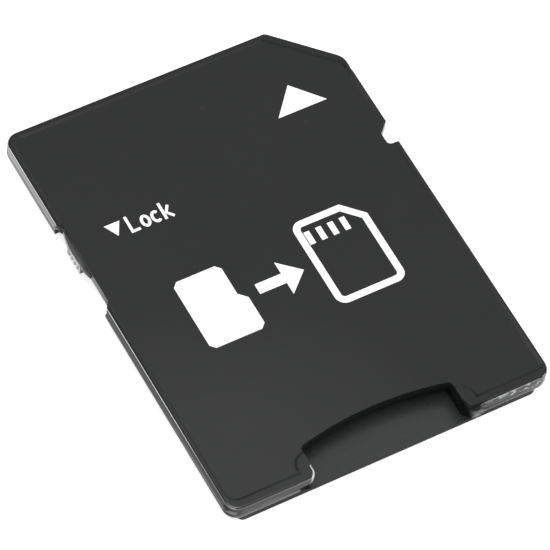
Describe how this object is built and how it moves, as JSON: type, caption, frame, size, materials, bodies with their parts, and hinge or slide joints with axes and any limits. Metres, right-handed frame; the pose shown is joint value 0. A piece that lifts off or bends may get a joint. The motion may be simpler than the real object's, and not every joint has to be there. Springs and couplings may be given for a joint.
{
  "type": "memory card adapter",
  "caption": "Thin full-size memory card adapter with a cut corner, side notches, a lock slider, a slot for a small card in one end and gold contacts underneath.",
  "frame": {"origin": "middle of the card's outline, on the plane of its underside", "axes": "+Y towards the contacts and the host's slot, -Y to the small card's mouth, +Z out of the label side, +X to the side with the cut corner"},
  "size_m": [0.024, 0.032, 0.0021],
  "materials": {
    "label_side": "fine satin",
    "contact_side": "satin",
    "slider": "semi-gloss",
    "carrier": "matte",
    "gold_plating": "gold plated strip",
    "spring_steel": "rolled strip"
  },
  "bodies": {
    "housing": {"top_shell": "label_side", "bottom_shell": "contact_side", "contact_carrier": "carrier", "contact_lead_1": "gold_plating", "contact_lead_2": "gold_plating", "contact_lead_3": "gold_plating", "contact_lead_4": "gold_plating", "contact_lead_5": "gold_plating", "contact_lead_6": "gold_plating", "contact_lead_7": "gold_plating", "contact_lead_8": "gold_plating", "retention_spring": "spring_steel"},
    "slider": {"lock_slider": "slider"}
  },
  "joints": [
    {"name": "lock_slide", "type": "slide", "parent": "housing", "child": "slider", "axis": [0, -1, 0], "range_m": [0, 0.002]}
  ]
}
